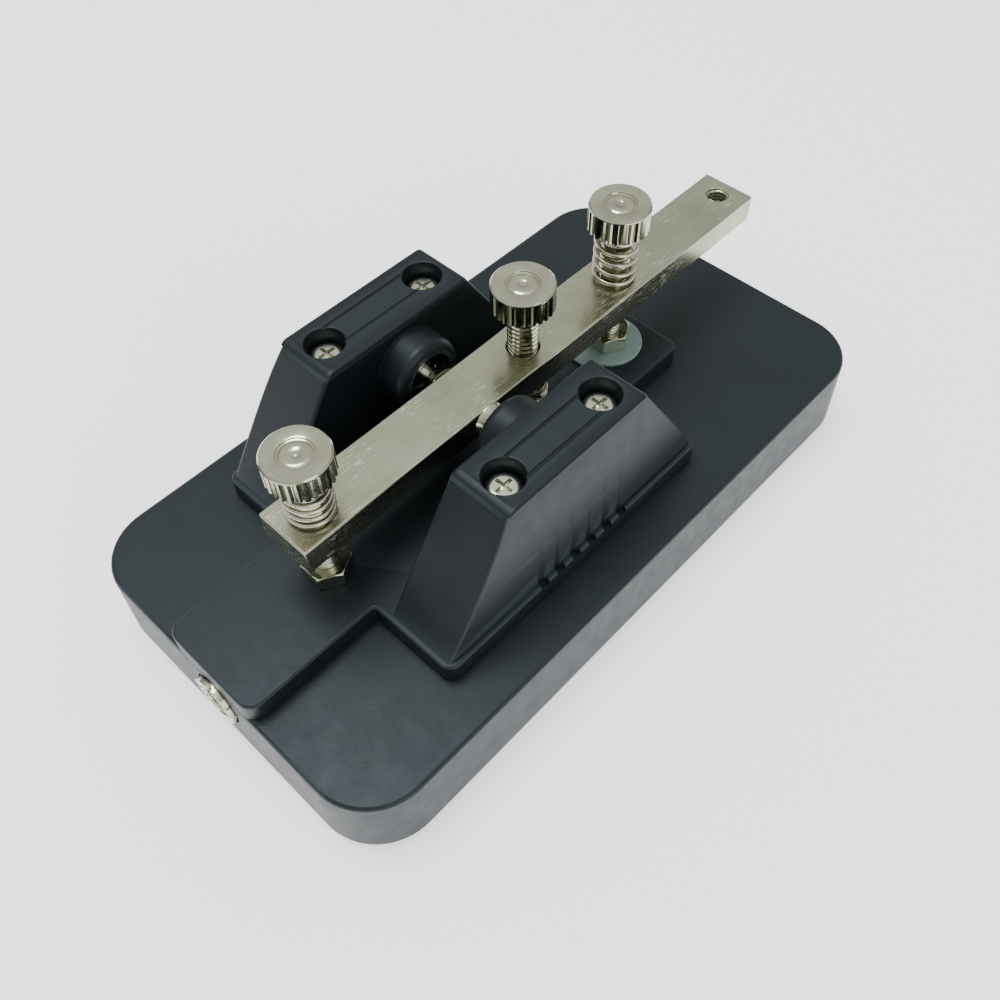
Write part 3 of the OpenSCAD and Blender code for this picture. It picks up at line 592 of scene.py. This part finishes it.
def buildPillar(side, name, node):
    v = pillar
    zs = [v["foot"] + (v["top"] - v["lip"] - v["foot"]) * i / 12 for i in range(12)]
    zs += [v["top"] - v["lip"] - 0.001, v["top"] - v["lip"] + 0.001]
    zs += [v["top"] - v["edge"] + v["edge"] * math.sin(math.pi / 2 * i / 5) for i in range(6)]
    for r in (v["rearRound"], v["frontRound"]):
        zs += [v["top"] - r + r * math.sin(math.pi / 2 * i / 10) for i in range(10)]
    zs = sorted(z for z in set(round(z, 4) for z in zs))
    rings = []
    for z in zs:
        rise = min(max((z - v["foot"]) / (v["top"] - v["lip"] - v["foot"]), 0), 1)
        outer = v["outer"] - v["lean"] * rise ** 2 - v["lipOut"] * (z < v["top"] - v["lip"]) * rise ** 6
        over = max(z - (v["top"] - v["edge"]), 0)
        inset = v["edge"] - math.sqrt(max(v["edge"] ** 2 - over ** 2, 0))
        front = slopeAt(z, v["footFront"], v["topFront"], v["frontRound"])
        rear = slopeAt(z, v["footRear"], v["topRear"], v["rearRound"])
        nearX, farX = v["inner"] + inset, outer - inset
        corners = [(nearX, front), (farX, front), (farX, rear), (nearX, rear)]
        ring = outline(corners, [v["corner"]] * 4, 0, z, 4)
        rings.append([(side * x, y, h) for x, y, h in (ring if side > 0 else reversed(ring))])
    bm = bmesh.new()
    loft(bm, rings)
    body = addObject(name, meshFrom(bm, name))
    face, full, turned = v["bossFace"], v["bossRadius"], v["bossRound"]
    bend = [math.pi / 2 * i / 8 for i in range(9)]
    boss = [(0, face)]
    boss += [(full - turned + turned * math.sin(a), face + turned - turned * math.cos(a)) for a in bend]
    boss += [(full, 10.05), (full + 0.12, 10.3), (full + 0.12, 11), (0, 11)]
    combine(body, [latheObject("boss", boss, pivot, 64, side)], "UNION")
    # the bearing's seat: a chamfered mouth, a step, the 6 mm ring's hole and room for the axle's end
    seat = [(0, face - 0.2), (3.45, face - 0.2), (3.3, face + 0.15), (3.3, 7.6), (3.0, 7.6), (3.0, 10.6),
        (2.0, 10.6), (2.0, 11.2), (0, 11.2)]
    cutters = [latheObject("seat", seat, pivot, 64, side)]
    for x, y in screwPlaces:
        if x * side > 0:
            r, floor, top = v["well"], v["wellFloor"], v["top"]
            well = [(0, 20), (1.4, 20), (1.4, floor), (r, floor), (r, top - 0.25), (r + 0.1, top - 0.1),
                (r + 0.35, top + 0.05), (r + 0.35, top + 0.8), (0, top + 0.8)]
            cutters.append(latheObject("well", well, (x, y), 48))
    front, rear, r = v["stripFront"], v["stripRear"], v["grooveRadius"]
    for x in v["strip"]:
        groove = latheObject("groove", [(0, front), (r, front), (r, rear), (0, rear)], steps=16)
        place = Matrix.Translation((side * x * mm, 0, (v["top"] + 0.02) * mm))
        groove.data.transform(place @ Matrix.Rotation(-math.pi / 2, 4, "X"))
        cutters.append(groove)
    cutters += fluteCutters(side)
    combine(body, cutters, "DIFFERENCE")
    settle(body, "base", "pillarAbs", (node,))


buildBase()
buildPillar(-1, "leftPillar", "left_pillar")
buildPillar(1, "rightPillar", "right_pillar")
print("mouldings made")

lever = {"half": 4, "low": 23.6, "top": 27.6, "front": -48, "rear": 35, "edge": 0.28, "screwHole": 2.12,
    "screwMouth": 0.12, "knob": -45, "knobRadius": 1.5, "knobMouth": 0.18, "axle": 0.99}


def buildLever():
    v = lever
    body = boxObject("leverBar", (-v["half"], v["front"], v["low"]), (v["half"], v["rear"], v["top"]))
    bevel = body.modifiers.new("round", "BEVEL")
    bevel.width = v["edge"] * mm
    bevel.segments = 3
    bake(body)
    cutters = []
    holes = [(y, v["screwHole"], v["screwMouth"]) for y in boltPlaces.values()]
    for y, r, mouth in holes + [(v["knob"], v["knobRadius"], v["knobMouth"])]:
        low, top, wide = v["low"], v["top"], r + mouth
        profile = [(0, low - 1), (wide, low - 1), (wide, low), (r, low + mouth),
            (r, top - mouth), (wide, top), (wide, top + 1), (0, top + 1)]
        cutters.append(latheObject("hole", profile, (0, y), 64))
    r, reach = v["axle"], v["half"] + 2
    cutters.append(latheObject("axleHole", [(0, -reach), (r, -reach), (r, reach), (0, reach)], pivot, 32, 1))
    combine(body, cutters, "DIFFERENCE")
    ridges = thread("ridges", v["knob"], v["low"] + 0.1, v["top"] - 0.1, v["knobRadius"] + 0.2, finePitch,
        "lever")
    body = joinAll("leverBar", [body, ridges])
    settle(body, "lever", "lever", ("lever_bar",))


buildLever()

thumb = {"radius": 4.0, "height": 3.6, "rim": 0.45, "teeth": 26, "toothDeep": 0.36, "toothWide": 0.37,
    "groove": 2.0, "thread": 2.0, "root": 1.66, "tip": 1.2}


def buildThumb(name, body, y, headLow, tip, node):
    v = thumb
    top = headLow + v["height"]
    r = v["radius"]
    core = r - v["toothDeep"]
    g = v["groove"]
    rim, root, end = top - v["rim"], v["root"], v["tip"]
    # from the underside: the core inside the teeth, the rim, then the turned ring and centre dimple on top
    head = [(0, headLow), (core - 0.5, headLow), (core, headLow + 0.15), (core, rim - 0.2), (r - 0.2, rim),
        (r - 0.02, rim + 0.1), (r - 0.02, top - 0.18), (r - 0.2, top), (g + 0.35, top),
        (g + 0.15, top - 0.05), (g + 0.08, top - 0.2), (g - 0.1, top - 0.24), (g - 0.3, top - 0.1),
        (g - 0.5, top - 0.05), (0.55, top - 0.07), (0.4, top - 0.16), (0.2, top - 0.16), (0, top - 0.08)]
    shaft = [(0, tip), (end - 0.2, tip), (end, tip + 0.2), (end, tip + 0.6), (root - 0.04, tip + 0.8),
        (root, headLow), (root, headLow + 0.3), (0, headLow + 0.3)]
    middle = headLow + (v["height"] - v["rim"]) / 2 + 0.1
    ribs = grow("ribs", "ribs", {"Place": (0, y * mm, middle * mm), "Count": v["teeth"],
        "Ring": (r - v["toothDeep"] - 0.03) * mm, "Thick": v["toothDeep"] * mm * 1.08,
        "Wide": v["toothWide"] * mm, "Height": (v["height"] - v["rim"] - 0.1) * mm,
        "Finish": finishes["nickel"]})
    parts = [latheObject("head", head, (0, y), 96), latheObject("shaft", shaft, (0, y), 48),
        thread("thread", y, tip + 0.7, headLow + 0.2, v["thread"], coarsePitch, "nickel"), ribs]
    settle(joinAll(name, parts), body, "nickel", (node,), 30)


headLows = {"gap": 34.1, "contact": 35.6, "tension": 34.3}
tips = {"gap": 19.72, "contact": 20.32, "tension": 21.52}
for place, headLow in headLows.items():
    buildThumb(place + "ThumbScrew", place + "_thumb", boltPlaces[place], headLow, tips[place],
        place + "_screw")
print("thumb screws made")


bolt = {"low": 11.7, "top": 19.7, "radius": 1.5, "root": 1.27, "tip": 0.95, "head": 2.8, "headHeight": 2}


def buildBolt(name, y, node):
    v = bolt
    low, top, head, root = v["low"], v["top"], v["head"], v["root"]
    under = low - v["headHeight"]
    shaft = [(0, under), (head - 0.5, under), (head, under + 0.5), (head, low), (root, low),
        (root, top - 0.35), (v["tip"], top), (0, top)]
    parts = [latheObject("shaft", shaft, (0, y), 48),
        thread("thread", y, low, top - 0.1, v["radius"], finePitch, "zinc")]
    settle(joinAll(name, parts), "base", "zinc", (node,), 30)


buildBolt("contactBolt", boltPlaces["contact"], "contact_bolt")
buildBolt("stopBolt", boltPlaces["gap"], "stop_bolt")

softened = [("contact_nut", "contactNut", 0.12, "base", "nickel_plate", "nickel"),
    ("stop_nut", "stopNut", 0.12, "base", "nickel_plate", "nickel"),
    ("contact_washer", "contactWasher", 0.1, "base", "dull_zinc", "chromate"),
    ("pillar_screws", "pillarScrews", 0.07, "base", "zinc_steel", "zinc"),
    ("axle_spacers", "axleSpacers", 0.12, "lever", "nickel_plate", "nickel"),
    ("spring_seat", "springSeat", 0.12, "base", "lug_brass", "brass"),
    ("tension_cap", "springCap", 0.12, "spring_cap", "nickel_plate", "nickel"),
    ("jack_ring_nut", "jackRingNut", 0.1, "base", "nickel_plate", "nickel"),
    ("jack_bush", "jackBush", 0.1, "base", "nickel_plate", "nickel"),
    ("jack_body", "jackBody", 0.25, "base", "jack_plastic", "nylon"),
    ("rubber_feet", "rubberFeet", 0.25, "base", "foot_rubber", "rubber"),
    ("bottom_plate", "bottomPlate", 0.12, "base", "painted_plate", "powder")]
for node, name, width, body, slotName, finish in softened:
    settle(softCopy(node, name, width), body, finish, (node,))

plain = {"plate_screws": "zinc", "bearing_outer_rings": "ground", "bearing_shields": "ground",
    "bearing_balls": "ground", "bearing_inner_rings": "ground", "pivot_axle": "ground",
    "contact_lug": "brass", "seat_lug": "brass", "jack_tags": "brass", "stop_washer": "zinc",
    "seat_screw": "zinc", "contact_wire": "redPvc", "seat_wire": "blackPvc"}
for node, finish in plain.items():
    for materialSlot in nodes[node].material_slots:
        materialSlot.material = finishes[finish]
print("small parts made")

lockSpring = {"radius": 2.65, "wire": 0.3, "turns": 5.5}
returnSpring = {"radius": 3.05, "wire": 0.3, "turns": 4.5, "low": 16.2, "high": 20.7}
touch = 0.02
leverTop = lever["top"]
for place in ("gap", "contact"):
    y, headLow, v = boltPlaces[place], headLows[place], lockSpring
    spring = coil(place + "LockSpring", y, leverTop + touch, headLow - touch, v["radius"], v["wire"],
        v["turns"], "springNickel")
    settle(spring, place + "_spring", "springNickel", (place + "_lock_spring",), 60,
        ride=False)
    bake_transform(spring)
y, v = boltPlaces["tension"], returnSpring
spring = coil("returnSpring", y, v["low"] + touch, v["high"] - touch, v["radius"], v["wire"], v["turns"],
    "springNickel")
settle(spring, "base", "springNickel", ("tension_spring",), 60, ride=False)
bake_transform(spring)
print("springs made")


def buildStage():
    bm = bmesh.new()
    bmesh.ops.create_grid(bm, x_segments=1, y_segments=1, size=2.0)
    floor = addObject("floor", meshFrom(bm, "floor"))
    material = startMaterial("pale floor", {"Base Color": linearColor("#ffffff"), "Roughness": 0.9,
        "Emission Color": (1, 1, 1, 1), "Emission Strength": 0.9})[0]
    floor.data.materials.append(material)
    world = bpy.data.worlds.new("studio")
    scene.world = world
    world.use_nodes = True
    # a tent of light: dim near the horizon, even over the middle, brightest overhead
    sky = world.node_tree
    direction = addNode(sky, "ShaderNodeTexCoord").outputs["Object"]
    height = addNode(sky, "ShaderNodeSeparateXYZ", links={0: direction})
    ramp = addNode(sky, "ShaderNodeValToRGB", links={"Fac": height.outputs[2]})
    stops = ramp.color_ramp.elements
    low, high = stops[0], stops[1]
    low.color, high.color = (0.17, 0.17, 0.17, 1), (1, 1, 1, 1)
    for place, level in ((0.55, 0.5), (0.82, 0.55)):
        stops.new(place).color = (level, level, level, 1)
    sky.links.new(ramp.outputs["Color"], sky.nodes["Background"].inputs[0])
    sky.nodes["Background"].inputs[1].default_value = 1.6
    lights = [("top", (0.15, 0.05, 0.7), 0.3, 3), ("side", (-0.6, 0.1, 0.3), 0.4, 1)]
    for name, place, size, power in lights:
        data = bpy.data.lights.new(name, "AREA")
        data.size = size
        data.energy = power
        obj = bpy.data.objects.new(name, data)
        scene.collection.objects.link(obj)
        obj.location = place
        obj.rotation_euler = Vector(place).to_track_quat("Z", "Y").to_euler()


buildStage()
print("stage set")
